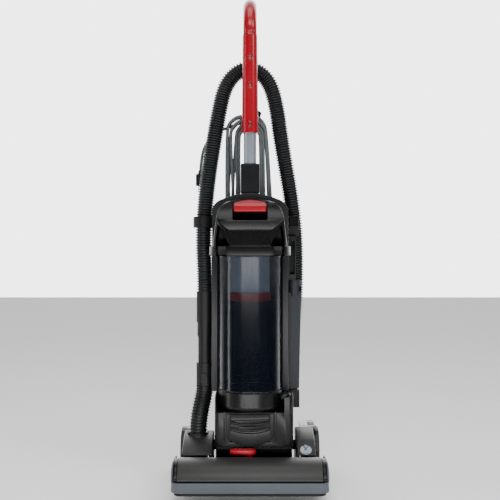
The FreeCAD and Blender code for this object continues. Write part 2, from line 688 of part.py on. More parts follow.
def make_stem():
    y = dim.stem_y
    half_w_socket, half_d = dim.socket_w / 2, dim.socket_d / 2
    block = box(-half_w_socket, half_w_socket, y - half_d, y + half_d, dim.arch_top + gap,
                dim.socket_top)
    block = ease(block, 5, runs_along("Z"))
    node("handle_socket", cut(block, rod("Z", *stem, 700, 790, dim.stem_d + 0.3)))
    tube = ring("Z", *stem, 697, 902, dim.stem_d, dim.stem_d - 2 * dim.stem_t)
    node("stem_tube", cut(tube, rod("Y", 0, 875, 20, 70, 3.6)))


SCREW_HEIGHTS = (875, 974, 1042)


def make_handle():
    """Two red half shells over the stem, and the three screws that join them."""
    low, high, y = dim.handle_low, dim.handle_top, dim.stem_y
    taper = rod("Z", *stem, low, high, dim.handle_d, dim.handle_top_d)
    bore = fuse(rod("Z", *stem, low - 1, 903, dim.stem_d + 0.3),
                rod("Z", *stem, 903, high + 1, dim.handle_top_d - 9))
    shell = cut(taper, bore)
    heads = [rod("Y", 0, z, 15, y - 14, 8.2) for z in SCREW_HEIGHTS]
    shanks = [rod("Y", 0, z, y + 10, y + 18, 3.3) for z in SCREW_HEIGHTS]
    front_half = box(-25, 25, 10, y - 0.1, low - 2, high + 2)
    back_half = box(-25, 25, y + 0.1, 76, low - 2, high + 2)
    node("handle_front", cut(common(shell, front_half), *heads))
    shell_two = cut(rod("Z", *stem, low, high, dim.handle_d, dim.handle_top_d),
                    rod("Z", *stem, low - 1, 903, dim.stem_d + 0.3),
                    rod("Z", *stem, 902, high + 1, dim.handle_top_d - 9))
    node("handle_back", cut(common(shell_two, back_half), *shanks))
    screws = [fuse(rod("Y", 0, z, 25.5, 27, 7.6), rod("Y", 0, z, 26.5, 59, 3))
              for z in SCREW_HEIGHTS]
    node("handle_screws", fuse(*screws))


def make_grip():
    route = [(0, float(dim.stem_y), float(dim.handle_top) + 5.3), (0, 45.5, 1131), (0, 60, 1160),
             (0, 85, 1183), (0, 114, 1196)]
    path, radii = tube_path(route)
    circle = Part.Wire(Part.makeCircle(float(dim.grip_d) / 2, Vector(*route[0]),
                                       Vector(*route[1]) - Vector(*route[0])))
    bar = Part.Solid(path.makePipeShell([circle], True, False))
    end = Part.makeSphere(float(dim.grip_d) / 2, Vector(*route[-1]))
    piece = doc.addObject("Part::Feature", "grip")
    collar = Part.makeCylinder((float(dim.handle_top_d) - 1.4) / 2, 5.1,
                               Vector(0, float(dim.stem_y), float(dim.handle_top) + float(gap)))
    piece.Shape = bar.fuse([end, collar]).removeSplitter()
    node("handle_grip", piece)


def make_hooks():
    """Upper hook that turns on its post to free the cord, lower hook, and the hose cradle."""
    d = dim.hook_d
    post = rod("Y", 0, 866, 64, 116, d)
    tip = slab("Y", [(12, 858), (30, 921), (12, 934), (-10, 930), (-12, 858)], 113, 117)
    node("upper_cord_hook", fuse(post, tip))
    arm = rod("Y", 0, 594, dim.back_y + gap, 117, d)
    tail = slab("Y", [(10, 598), (-10, 598), (-18, 545), (0, 538, 18, 545)], 113, 117)
    foot = box(-20, 20, dim.back_y + gap, 75, 574, 614)
    node("lower_cord_hook", fuse(arm, tail, foot))
    neck = box(-9, 9, 62.8, 68, 975, 1015)
    saddle = common(rod("X", 89, 1026.5, -9, 9, 52), box(-20, 20, 60, 118, 990, 1012))
    node("hose_cradle", cut(fuse(neck, saddle), rod("X", 89, 1026.5, -10, 10, 46)))


# ---- hose, wand and tools

HOSE_ROUTE = [(104, 94, 213.5), (103, 93, 264), (106, 85, 340), (112, 80, 425), (113.5, 79, 515),
              (112, 80, 608), (104, 82, 700), (90, 84, 782), (77, 87, 860), (69, 89, 925),
              (52, 89, 992), (18, 89, 1027), (-24, 89, 1028), (-62, 89, 990), (-78, 88, 925),
              (-91, 84, 848), (-104, 74, 763), (-113, 62, 675), (-116.5, 50, 590),
              (-112.5, 43, 512), (-112, 42, 463)]
LOWER_ROUTE = [(-128, 23, 119), (-127.5, 23.6, 143), (-120, 32, 176), (-112.5, 41.4, 208),
               (-112, 42, 231.2)]


def make_hose():
    route_tube("hose", HOSE_ROUTE, dim.hose_d)
    route_tube("lower_hose", LOWER_ROUTE, dim.duct_d)
    elbow = box(84, 125, dim.back_y + gap, 116, 168, 212)
    elbow = ease(elbow, 9, runs_along("Z", lambda p: p.y > 90))
    node("hose_port", cut(elbow, rod("Z", 104, 94, 175, 213, 36)))


def rear_corner():
    """The solid outer shape of the rear housing, to trim what is fastened to its side."""
    return slab("Z", rear_plan(-gap), 230, 700)


def make_wand():
    cuff = fuse(rod("Z", *wand, dim.cuff_low, dim.cuff_top, dim.cuff_d),
                rod("Z", *wand, dim.neck_low, dim.cuff_low + 1, 38))
    node("hose_cuff", cut(cuff, rod("Z", *wand, dim.neck_low - 1, dim.cuff_top + 1, 34.1)))
    node("wand_tube", ring("Z", *wand, 238, 400, dim.wand_d, dim.wand_d - 4))
    sleeve = rod("Z", *wand, dim.duct_top, dim.socket_rim, dim.duct_d - 0.4)
    lug = box(-96, dim.low_left - 11, 24, 30, dim.duct_top + 6, dim.socket_rim - 8)
    bore = rod("Z", *wand, dim.duct_top - 1, dim.socket_rim + 1, dim.wand_d + 0.2)
    tongue = box(-119, -105, 17, 24, 236, 262)
    node("wand_socket", cut(fuse(sleeve, lug, tongue), bore))
    clip = ring("Z", -114.8, 56.5, 622, 649, 55, 48)
    mouth = box(-130, -100, 70, 90, 620, 651)
    arm = box(-94.5, -87, 42, 50, 622, 649)
    node("hose_clip", cut(fuse(cut(clip, mouth), arm), rear_corner()))


def make_tools():
    """Switch box high on the right side, and below it the clip that holds the crevice tool."""
    x, y = dim.tool_x, 34
    caddy = box(94.2, 121, 20, 52, dim.caddy_low, dim.caddy_top)
    caddy = ease(caddy, 4, runs_along("Z"))
    slope = slab("X", [(19, dim.caddy_low - 1), (30, dim.caddy_low - 1), (19, dim.caddy_low + 22)], 94, 122)
    node("switch_housing", cut(caddy, box(97, 118, 19, 39, 626, 648), slope))
    rocker = box(97.6, 117.4, 17.5, 31, 627.6, 646.4)
    node("power_switch", fuse(rocker, rod("X", 26, 637, 97.2, 117.8, 6)))
    clip_top = dim.caddy_low - 0.5
    collar = box(94.2, 127, 18, 52, dim.tool_neck + 10, dim.tool_high - 16)
    post = box(94.2, 113, 20, 52, dim.tool_high - 17, clip_top)
    bore = fuse(rod("Z", x, y, dim.tool_neck + 9, dim.tool_high + 1, 30.6),
                box(x - 15.3, x + 15.3, 17, y, dim.tool_neck + 9, dim.tool_high + 1))
    hollow = box(98, 110, 19, 46, dim.tool_high + 14, clip_top - 12)
    node("tool_clip", cut(fuse(collar, post), bore, hollow))
    blade = slab("Y", [(x + 15.5, dim.tool_neck + 8), (x - 15.5, dim.tool_neck + 8),
                       (x - 14.5, dim.tool_low), (x + 11, dim.tool_low + 3)], y - 11.5, y + 11.5)
    neck = rod("Z", x, y, dim.tool_neck, dim.tool_high, 30)
    inner = fuse(slab("Y", [(x + 11.5, dim.tool_neck + 9), (x - 11.5, dim.tool_neck + 9),
                            (x - 10.5, dim.tool_low - 1), (x + 8, dim.tool_low - 1)], y - 8.5, y + 8.5),
                 rod("Z", x, y, dim.tool_neck + 6, dim.tool_high + 1, 25))
    node("crevice_tool", cut(fuse(blade, neck), inner))


# ---- power cord

LEAD_IN = [(-52, 88, 470), (-50, 88, 428), (-30, 89, 400), (4, 88, 402), (34, 86, 440),
           (49, 83, 500), (55, 81, 562), (57, 80, 622)]
LEAD_OUT = [(-40, 107, 876), (-64, 112, 880), (-93, 116, 867), (-117, 117, 838), (-126, 116, 802),
            (-128, 115, 772)]


def loop_outline(width, height, radius):
    """A long loop seen from the front: straight sides and round corners."""
    side, end, bend = width / 2, height / 2, radius * (1 - math.sqrt(0.5))
    low, high = dim.hank_z - end, dim.hank_z + end
    return [(side, high - radius), (side - bend, high - bend, side - radius, high),
            (radius - side, high), (bend - side, high - bend, -side, high - radius),
            (-side, low + radius), (bend - side, low + bend, radius - side, low),
            (side - radius, low), (side - bend, low + bend, side, low + radius)]


def make_cord():
    """Wound hank between the two hooks, the lead to the machine, the tail and its plug."""
    y0, y1 = dim.hank_front, dim.hank_back
    outer = slab("Y", loop_outline(dim.hank_out_w, dim.hank_out_h, 60), y0, y1)
    beside_hose = [(80, 770), (66.5, 770), (53, 846, 22, 908), (22, 920), (80, 920)]
    shoulder = slab("Y", beside_hose, y0 - 1, y1 + 1)
    inner = slab("Y", loop_outline(dim.hank_in_w, dim.hank_in_h, 19), y0 - 1, y1 + 1)
    node("cord_hank", cut(outer, shoulder, inner))
    route_tube("cord_lead", LEAD_IN, dim.cord_d)
    route_tube("cord_tail", LEAD_OUT, dim.cord_d)
    node("strain_relief", rod("Z", -52, 88, 470, 498, 11, 18))
    body = ease(box(-140, -116, 106, 124, 732, 762), 4, runs_along("Z"))
    collar = rod("Z", -128, 115, 762, 772, 15, 10)
    blades = [box(x - 0.8, x + 0.8, 112, 118, 716, 733) for x in (-134, -122)]
    node("plug", fuse(body, collar, rod("Z", -128, 121, 718, 733, 4.6), *blades))


BUILDERS = [make_bumper, make_sole_plate, make_chassis, make_hood, make_cheeks, make_fenders,
            make_duct_elbow, make_brush, make_belt, make_rear_wheels, make_rollers,
            make_height_knob, make_pedal, make_bushes, make_lower_housing, make_motor,
            make_exhaust_door, make_rear_housing, make_cup, make_lid, make_stem, make_handle,
            make_grip, make_hooks, make_hose, make_wand, make_tools, make_cord]
for build in BUILDERS:
    build()
doc.recompute()

failed = [o.Name for o in doc.Objects if "Invalid" in o.State or "Error" in o.State]
if failed:
    raise SystemExit(f"these objects failed: {failed}")
os.makedirs("parts", exist_ok=True)
for name, obj in nodes.items():
    shape = obj.Shape
    if shape.isNull() or not shape.isValid() or not shape.Solids:
        raise SystemExit(f"{name} has no sound solid")
    shape.exportStep(f"parts/{name}.step")
print(len(nodes), "parts written")
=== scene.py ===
import math
import random

import bmesh
import bpy
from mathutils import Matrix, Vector


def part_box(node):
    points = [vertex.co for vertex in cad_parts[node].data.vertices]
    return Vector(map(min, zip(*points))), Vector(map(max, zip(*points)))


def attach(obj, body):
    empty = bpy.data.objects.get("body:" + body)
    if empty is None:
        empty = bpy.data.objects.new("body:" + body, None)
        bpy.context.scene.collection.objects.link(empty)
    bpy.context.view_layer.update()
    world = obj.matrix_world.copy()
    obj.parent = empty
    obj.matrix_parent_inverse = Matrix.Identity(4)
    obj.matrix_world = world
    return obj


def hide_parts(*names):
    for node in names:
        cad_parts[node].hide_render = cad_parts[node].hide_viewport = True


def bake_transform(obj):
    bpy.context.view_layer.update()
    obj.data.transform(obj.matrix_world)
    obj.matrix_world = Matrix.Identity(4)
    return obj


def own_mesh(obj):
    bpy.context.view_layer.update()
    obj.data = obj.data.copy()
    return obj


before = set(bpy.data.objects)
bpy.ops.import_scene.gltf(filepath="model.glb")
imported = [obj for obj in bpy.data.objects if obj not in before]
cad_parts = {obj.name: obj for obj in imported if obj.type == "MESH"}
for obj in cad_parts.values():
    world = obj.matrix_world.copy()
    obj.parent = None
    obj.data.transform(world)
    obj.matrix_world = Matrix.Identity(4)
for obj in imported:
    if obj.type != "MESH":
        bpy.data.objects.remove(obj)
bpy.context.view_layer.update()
mm = 0.001


# selecting and finishing

def clearSelection():
    if bpy.context.object and bpy.context.object.mode != "OBJECT":
        bpy.ops.object.mode_set(mode="OBJECT")
    bpy.ops.object.select_all(action="DESELECT")


def pick(obj):
    clearSelection()
    obj.select_set(True)
    bpy.context.view_layer.objects.active = obj
    return obj


def settle(obj):
    pick(obj)
    bpy.ops.object.transform_apply(location=True, rotation=True, scale=True)


def applyModifiers(obj):
    pick(obj)
    for modifier in list(obj.modifiers):
        bpy.ops.object.modifier_apply(modifier=modifier.name)


def roundEdges(obj, width, segments=3, angle=35):
    bevel = obj.modifiers.new("edges", "BEVEL")
    bevel.width = width * mm
    bevel.segments = segments
    bevel.limit_method = "ANGLE"
    bevel.angle_limit = math.radians(angle)
    bevel.use_clamp_overlap = False
    bevel.miter_outer = "MITER_ARC"
    applyModifiers(obj)


def smoothShade(obj, angle=38):
    pick(obj)
    bpy.ops.object.shade_smooth_by_angle(angle=math.radians(angle))


def joinPieces(parts, name):
    clearSelection()
    for part in parts:
        part.select_set(True)
    bpy.context.view_layer.objects.active = parts[0]
    bpy.ops.object.join()
    parts[0].name = name
    return parts[0]


def finishPiece(obj, name, body, finish, replaced=(), angle=38):
    obj.name = name
    settle(obj)
    smoothShade(obj, angle)
    obj.data.materials.clear()
    obj.data.materials.append(finish)
    if body:
        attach(obj, body)
    if replaced:
        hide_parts(*replaced)
    return obj


def startEditing(obj):
    pick(obj)
    bpy.ops.object.mode_set(mode="EDIT")


def stopEditing():
    bpy.ops.object.mode_set(mode="OBJECT")


weld = {"gap": 0.03 * mm, "flat": math.radians(1.5)}


def looseCopy(nodeName):
    # a copy of a frame part that no longer rides on anything, with its triangles welded
    pick(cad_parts[nodeName])
    bpy.ops.object.duplicate()
    piece = bpy.context.object
    for key in list(piece.keys()):
        del piece[key]
    piece.parent = None
    startEditing(piece)
    bpy.ops.mesh.select_all(action="SELECT")
    bpy.ops.mesh.remove_doubles(threshold=weld["gap"])
    stopEditing()
    return piece


def copyNode(nodeName):
    # a loose copy whose flat faces are joined up, ready for new edges
    piece = looseCopy(nodeName)
    startEditing(piece)
    bpy.ops.mesh.select_all(action="SELECT")
    bpy.ops.mesh.dissolve_limited(angle_limit=weld["flat"])
    bpy.ops.mesh.normals_make_consistent(inside=False)
    stopEditing()
    return piece


def chooseFaces(obj, test):
    # the test gets each face's middle in millimetres, and its normal
    bpy.ops.mesh.select_mode(type="FACE")
    shape = bmesh.from_edit_mesh(obj.data)
    for face in shape.faces:
        face.select = bool(test(face.calc_center_median() / mm, face.normal))
    shape.select_flush_mode()
    bmesh.update_edit_mesh(obj.data)


def chooseEdges(obj, test):
    # the test gets each edge's middle in millimetres, and its unit direction
    bpy.ops.mesh.select_mode(type="EDGE")
    shape = bmesh.from_edit_mesh(obj.data)
    for edge in shape.edges:
        ends = [vertex.co / mm for vertex in edge.verts]
        edge.select = bool(test((ends[0] + ends[1]) / 2, (ends[1] - ends[0]).normalized()))
    shape.select_flush_mode()
    bmesh.update_edit_mesh(obj.data)


def addBlock(low, high):
    clearSelection()
    middle = [(a + b) / 2 * mm for a, b in zip(low, high)]
    bpy.ops.mesh.primitive_cube_add(size=1, location=middle,
                                    scale=[(b - a) * mm for a, b in zip(low, high)])
    settle(bpy.context.object)
    return bpy.context.object


turnTo = {"X": (0, math.pi / 2, 0), "Y": (-math.pi / 2, 0, 0), "Z": (0, 0, 0)}


def addRound(axis, place, low, high, radius, sides=64):
    # a cylinder from low to high along an axis; place is its other two coordinates in order
    clearSelection()
    middle = (low + high) / 2
    spot = {"X": (middle, *place), "Y": (place[0], middle, place[1]), "Z": (*place, middle)}[axis]
    bpy.ops.mesh.primitive_cylinder_add(vertices=sides, radius=radius * mm, depth=(high - low) * mm,
                                        location=[c * mm for c in spot], rotation=turnTo[axis])
    settle(bpy.context.object)
    return bpy.context.object


def drawOutline(outline, axis, low, high):
    # a flat outline of (u, v) corners, filled and pushed from low to high along an axis
    clearSelection()
    bpy.ops.mesh.primitive_circle_add(vertices=len(outline), radius=1, fill_type="NGON")
    obj = bpy.context.object
    for vertex, (u, v) in zip(obj.data.vertices, outline):
        spot = {"X": (low, u, v), "Y": (u, low, v), "Z": (u, v, low)}[axis]
        vertex.co = [c * mm for c in spot]
    push = {"X": (high - low, 0, 0), "Y": (0, high - low, 0), "Z": (0, 0, high - low)}[axis]
    startEditing(obj)
    bpy.ops.mesh.select_all(action="SELECT")
    bpy.ops.mesh.extrude_region_move(TRANSFORM_OT_translate={"value": [c * mm for c in push]})
    bpy.ops.mesh.select_all(action="SELECT")
    bpy.ops.mesh.normals_make_consistent(inside=False)
    stopEditing()
    return obj


def cutAway(obj, *tools):
    for tool in tools:
        carve = obj.modifiers.new("carve", "BOOLEAN")
        carve.object = tool
        carve.operation = "DIFFERENCE"
        carve.solver = "EXACT"
        applyModifiers(obj)
        bpy.data.objects.remove(tool)
    return obj


def smoothPiece(nodeName, name, body, finish, angle=32):
    # a finely faceted copy keeps its own facets, and its normals are evened out
    piece = looseCopy(nodeName)
    finishPiece(piece, name, body, finish, (nodeName,), angle)
    even = piece.modifiers.new("even", "WEIGHTED_NORMAL")
    even.keep_sharp = True
    applyModifiers(piece)
    return piece


def softPiece(nodeName, name, body, finish, width, segments=3, angle=38):
    piece = copyNode(nodeName)
    roundEdges(piece, width, segments)
    return finishPiece(piece, name, body, finish, (nodeName,), angle)


# camera, lights and floor

view = {"distance": 1.785, "height": 0.566, "lens": 52.85}
bpy.ops.object.camera_add(location=(0, -view["distance"], view["height"]),
                          rotation=(math.pi / 2, 0, 0))
camera = bpy.context.object
camera.data.lens = view["lens"]
camera.data.sensor_width = 36
bpy.context.scene.camera = camera

studio = {"floorSize": 14.0, "floorColour": (0.93, 0.93, 0.92), "behind": 4.2, "ahead": 0.06}
bpy.ops.mesh.primitive_plane_add(size=studio["floorSize"], location=(0, 0, 0))
floor = bpy.context.object
floor.name = "floor"
floorFinish = bpy.data.materials.new("paleFloor")
floorFinish.use_nodes = True
floorShader = floorFinish.node_tree.nodes["Principled BSDF"]
floorShader.inputs["Base Color"].default_value = (*studio["floorColour"], 1)
floorShader.inputs["Roughness"].default_value = 0.8
floor.data.materials.append(floorFinish)


def studioSky():
    # a bright wall behind the object that fades to a dim room in front of it
    world = bpy.data.worlds.new("studioWorld")
    world.use_nodes = True
    tree = world.node_tree
    direction = tree.nodes.new("ShaderNodeTexCoord")
    split = tree.nodes.new("ShaderNodeSeparateXYZ")
    fade = tree.nodes.new("ShaderNodeMapRange")
    fade.interpolation_type = "SMOOTHSTEP"
    fade.inputs["From Min"].default_value = 0.25
    fade.inputs["From Max"].default_value = 0.90
    fade.inputs["To Min"].default_value = studio["ahead"]
    fade.inputs["To Max"].default_value = studio["behind"]
    tree.links.new(direction.outputs["Generated"], split.inputs["Vector"])
    tree.links.new(split.outputs["Y"], fade.inputs["Value"])
    path = tree.nodes.new("ShaderNodeLightPath")           # the backdrop itself is seen evenly pale
    seen = tree.nodes.new("ShaderNodeMix")
    seen.inputs["B"].default_value = studio["behind"]
    tree.links.new(path.outputs["Is Camera Ray"], seen.inputs["Factor"])
    tree.links.new(fade.outputs["Result"], seen.inputs["A"])
    tree.links.new(seen.outputs["Result"], tree.nodes["Background"].inputs["Strength"])
    tree.nodes["Background"].inputs["Color"].default_value = (1, 1, 1, 1)
    bpy.context.scene.world = world


studioSky()
softBoxes = [
    {"name": "lowBox", "at": (0, -1.2, 0.23), "aim": (0, 0, 0.23), "size": (1.4, 0.26), "power": 9},
    {"name": "fillBox", "at": (0, -2.0, 2.8), "aim": (0, 0, 0.6), "size": (1.8, 0.6), "power": 34},
    {"name": "keyBox", "at": (1.7, -1.2, 2.2), "aim": (0, 0, 0.7), "size": (0.7, 1.2), "power": 20},
    {"name": "leftStrip", "at": (-2.1, -0.3, 0.8), "aim": (0, 0, 0.6), "size": (0.35, 2.0), "power": 12},
    {"name": "topBox", "at": (0, -0.2, 2.6), "aim": (0, -0.05, 0.5), "size": (1.4, 0.9), "power": 13},
]
for lamp in softBoxes:
    aim = Vector(lamp["aim"]) - Vector(lamp["at"])
    bpy.ops.object.light_add(type="AREA", location=lamp["at"],
                             rotation=aim.to_track_quat("-Z", "Y").to_euler())
    light = bpy.context.object
    light.name = lamp["name"]
    light.data.shape = "RECTANGLE"
    light.data.size, light.data.size_y = lamp["size"]
    light.data.energy = lamp["power"]
    light.visible_camera = False
print("camera, lights and floor are set")


# finishes

def newFinish(name):
    finish = bpy.data.materials.new(name)
    finish.use_nodes = True
    return finish, finish.node_tree, finish.node_tree.nodes["Principled BSDF"]


def addNode(tree, kind, **settings):
    node = tree.nodes.new(kind)
    for key, value in settings.items():
        if key in node.inputs:
            node.inputs[key].default_value = value
        else:
            setattr(node, key, value)
    return node


def mouldedFinish(name, look):
    # plastic, paint or metal: cloudy colour, uneven gloss and a fine skin texture
    finish, tree, shader = newFinish(name)
    link = tree.links.new
    place = addNode(tree, "ShaderNodeTexCoord")
    cloud = addNode(tree, "ShaderNodeTexNoise", Scale=look.get("cloud", 14.0), Detail=4.0)
    grain = addNode(tree, "ShaderNodeTexNoise", Scale=look.get("grain", 1400.0), Detail=2.0)
    tint = addNode(tree, "ShaderNodeMix", data_type="RGBA")
    tint.inputs[6].default_value = (*look["colour"], 1)
    tint.inputs[7].default_value = (*look.get("worn", [c * 1.35 + 0.004 for c in look["colour"]]), 1)
    gloss = addNode(tree, "ShaderNodeMapRange")
    gloss.inputs["To Min"].default_value = look["rough"] * 0.85
    gloss.inputs["To Max"].default_value = min(1.0, look["rough"] * 1.2)
    skin = addNode(tree, "ShaderNodeBump", Strength=look.get("bump", 0.08), Distance=0.0004)
    link(place.outputs["Object"], cloud.inputs["Vector"])
    link(place.outputs["Object"], grain.inputs["Vector"])
    link(cloud.outputs["Fac"], tint.inputs[0])
    link(tint.outputs[2], shader.inputs["Base Color"])
    link(cloud.outputs["Fac"], gloss.inputs["Value"])
    link(gloss.outputs["Result"], shader.inputs["Roughness"])
    link(grain.outputs["Fac"], skin.inputs["Height"])
    link(skin.outputs["Normal"], shader.inputs["Normal"])
    shader.inputs["Metallic"].default_value = look.get("metal", 0.0)
    shader.inputs["Coat Weight"].default_value = look.get("coat", 0.0)
    shader.inputs["Coat Roughness"].default_value = 0.12
    shader.inputs["IOR"].default_value = 1.47
    shader.inputs["Specular IOR Level"].default_value = look.get("shine", 0.5)
    return finish


looks = {
    "blackMoulding": {"colour": (0.0030, 0.0031, 0.0035), "rough": 0.45, "bump": 0.12, "shine": 0.30},
    "glossBlack": {"colour": (0.0022, 0.0022, 0.0023), "rough": 0.27, "bump": 0.02, "shine": 0.30},
    "navyBlack": {"colour": (0.0022, 0.0030, 0.0045), "rough": 0.45, "bump": 0.1, "shine": 0.25},
    "filterPaper": {"colour": (0.50, 0.60, 0.76), "rough": 0.8, "bump": 0.3, "grain": 500.0},
    "ringRed": {"colour": (0.36, 0.002, 0.012), "rough": 0.4, "bump": 0.05},
    "hoodGrey": {"colour": (0.019, 0.0185, 0.018), "rough": 0.40, "bump": 0.03, "shine": 0.45},
    "bumperGrey": {"colour": (0.062, 0.071, 0.086), "rough": 0.46, "bump": 0.06},
    "archGrey": {"colour": (0.014, 0.0145, 0.0165), "rough": 0.38, "bump": 0.05, "shine": 0.4},
    "signalRed": {"colour": (0.34, 0.0002, 0.008), "rough": 0.30, "bump": 0.03, "shine": 0.45,
                  "worn": (0.39, 0.0006, 0.012), "coat": 0.2},
    "stemSteel": {"colour": (0.28, 0.315, 0.36), "rough": 0.34, "metal": 0.45, "bump": 0.03},
    "steel": {"colour": (0.42, 0.42, 0.43), "rough": 0.3, "metal": 1.0, "bump": 0.05},
    "wheelBlack": {"colour": (0.010, 0.010, 0.011), "rough": 0.4, "bump": 0.1},
    "rollerBlack": {"colour": (0.008, 0.008, 0.009), "rough": 0.6, "bump": 0.2},
    "nylonBristle": {"colour": (0.012, 0.012, 0.013), "rough": 0.6, "bump": 0.2, "shine": 0.3},
    "brushCore": {"colour": (0.02, 0.02, 0.022), "rough": 0.5},
    "beltRubber": {"colour": (0.012, 0.012, 0.012), "rough": 0.65, "bump": 0.2},
    "bushNylon": {"colour": (0.55, 0.54, 0.48), "rough": 0.45},
    "filterFoam": {"colour": (0.55, 0.55, 0.52), "rough": 0.9, "bump": 0.5, "grain": 600.0},
    "hoseBlack": {"colour": (0.0065, 0.008, 0.0098), "rough": 0.33, "bump": 0.03, "shine": 0.5},
    "ductBlack": {"colour": (0.005, 0.0055, 0.0065), "rough": 0.4, "bump": 0.08, "shine": 0.4},
    "cordGrey": {"colour": (0.085, 0.098, 0.102), "rough": 0.36, "bump": 0.03, "cloud": 40.0},
    "toolGrey": {"colour": (0.014, 0.016, 0.021), "rough": 0.55, "bump": 0.5, "grain": 700.0, "shine": 0.35},
    "pedalGrey": {"colour": (0.10, 0.104, 0.11), "rough": 0.35, "bump": 0.03},
}
finishes = {name: mouldedFinish(name, look) for name, look in looks.items()}


def smokedFinish():
    # smoky clear plastic: a dark tint that lets the filter show, under a glossy skin
    finish, tree, shader = newFinish("smokedClear")
    place = addNode(tree, "ShaderNodeTexCoord")
    haze = addNode(tree, "ShaderNodeTexNoise", Scale=9.0, Detail=3.0)
    dust = addNode(tree, "ShaderNodeMapRange")
    dust.inputs["To Min"].default_value = 0.13
    dust.inputs["To Max"].default_value = 0.19
    tint = addNode(tree, "ShaderNodeMix", data_type="RGBA")
    tint.inputs[6].default_value = (0.0030, 0.0050, 0.010, 1)
    tint.inputs[7].default_value = (0.0050, 0.0075, 0.014, 1)
    tree.links.new(place.outputs["Object"], haze.inputs["Vector"])
    tree.links.new(haze.outputs["Fac"], dust.inputs["Value"])
    tree.links.new(haze.outputs["Fac"], tint.inputs[0])
    tree.links.new(tint.outputs[2], shader.inputs["Base Color"])
    tree.links.new(dust.outputs["Result"], shader.inputs["Roughness"])
    shader.inputs["Alpha"].default_value = 0.5
    shader.inputs["IOR"].default_value = 1.5
    return finish


finishes["smokedClear"] = smokedFinish()


# stretch hose: one rib drawn out along the hose's line

def smoothLine(name, points):
    curve = bpy.data.curves.new(name, "CURVE")
    curve.dimensions = "3D"
    spline = curve.splines.new("NURBS")
    spline.points.add(len(points) - 1)
    for point, place in zip(spline.points, points):
        point.co = (place[0] * mm, place[1] * mm, place[2] * mm, 1)
    spline.order_u = 3
    spline.use_endpoint_u = True
    spline.resolution_u = 12
    line = bpy.data.objects.new(name, curve)
    bpy.context.scene.collection.objects.link(line)
    return line


def linePoints(line):
    mesh = bpy.data.meshes.new_from_object(line)
    points = [tuple(vertex.co) for vertex in mesh.vertices]
    bpy.data.meshes.remove(mesh)
    return points


def lengthOf(points):
    return sum((Vector(b) - Vector(a)).length for a, b in zip(points, points[1:]))


hose = {"diameter": 42.0, "groove": 33.8, "pitch": 6.4, "sides": 30}
hoseRoute = [(104, 94, 213.5), (103, 93, 264), (106, 85, 340), (114, 80, 425), (116.5, 79, 515),
             (115, 80, 608), (104, 82, 700), (90, 84, 782), (77, 87, 860), (69, 89, 925),
             (52, 89, 992), (18, 89, 1027), (-24, 89, 1028), (-62, 89, 990), (-78, 88, 925),
             (-91, 84, 848), (-104, 74, 763), (-113, 62, 675), (-116.5, 50, 590),
             (-112.5, 43, 512), (-112, 42, 463)]


def ribbedTube(line, sizes, steps):
    # a ring is pushed out step by step into one rib, then repeated and bent along the line
    bpy.ops.mesh.primitive_circle_add(vertices=sizes["sides"], radius=sizes["groove"] / 2 * mm,
                                      location=(0, 0, 0), rotation=(0, math.pi / 2, 0))
    rib = bpy.context.object
    bpy.ops.object.transform_apply(rotation=True)
    bpy.ops.object.mode_set(mode="EDIT")
    bpy.ops.mesh.select_mode(type="EDGE")
    bpy.ops.mesh.select_all(action="SELECT")
    for share, growth in steps:
        bpy.ops.mesh.extrude_region_move(
            TRANSFORM_OT_translate={"value": (sizes["pitch"] * share * mm, 0, 0)})
        bpy.ops.transform.resize(value=(1, growth, growth), center_override=(0, 0, 0))
    bpy.ops.object.mode_set(mode="OBJECT")
    repeat = rib.modifiers.new("repeat", "ARRAY")
    repeat.fit_type = "FIT_CURVE"
    repeat.curve = line
    repeat.use_merge_vertices = True
    repeat.merge_threshold = 0.00005
    follow = rib.modifiers.new("follow", "CURVE")
    follow.object = line
    applyModifiers(rib)
    return rib


hoseLine = smoothLine("hoseLine", hoseRoute)
hosePath = linePoints(hoseLine)
swell = hose["diameter"] / hose["groove"]
stretchHose = ribbedTube(hoseLine, hose, [(0.22, 1.0), (0.17, swell * 0.97), (0.09, 1 / 0.97),
                                          (0.12, 1.0), (0.09, 0.97), (0.31, 1 / (swell * 0.97))])
finishPiece(stretchHose, "stretchHose", "upright", finishes["hoseBlack"], ("hose",), 60)
print("hose", round(lengthOf(hosePath), 3))


# power cord: lead, hank and tail are one line

cord = {"diameter": 8.0, "turns": 15.5, "wide": (29, 37.5, 52, 60.5), "tall": (150, 159, 168, 177),
        "rows": (80, 89, 98, 107), "centre": 730, "start": 3.5, "corner": 44,
        "leanFrom": 775, "lean": 0.0030}
leadRoute = [(-52, 88, 470), (-50, 88, 428), (-30, 89, 400), (4, 88, 402), (34, 86, 440),
             (49, 83, 500), (55, 81, 562), (57, 80, 622)]
tailRoute = [(-40, 107, 876), (-64, 112, 880), (-93, 116, 867), (-117, 117, 838), (-126, 116, 802),
             (-128, 115, 772)]


def hankTurns():
    # each turn is a long loop with four round corners, four points to a corner
    chance = random.Random(11)
    order = [(row, layer) for row in range(4) for layer in
             (range(3, -1, -1) if row % 2 == 0 else range(4))]
    points = []
    for step in range(int(cord["turns"] * 16)):
        turn, quarter, part = step // 16, step % 16 // 4, step % 4
        row, layer = order[min(turn, len(order) - 1)]
        if quarter == 3:                                   # the bottom left corner moves on to the next turn
            row, layer = order[min(turn + 1, len(order) - 1)]
        wide = cord["wide"][layer] + (chance.uniform(-1.6, 1.6) if part == 0 else 0)
        tall = cord["tall"][layer]
        corner = min(wide, cord["corner"])
        angle = math.radians(11.25 + 22.5 * part + 90 * quarter)
        x = math.copysign(wide - corner, math.sin(angle)) + corner * math.sin(angle)
        z = cord["centre"] - math.copysign(tall - corner, math.cos(angle)) - corner * math.cos(angle)
        if x > 0 and z > cord["leanFrom"]:
            x *= 1 - cord["lean"] * (wide / 60) ** 2 * (z - cord["leanFrom"])
        points.append((x, cord["rows"][row], z))
    return points


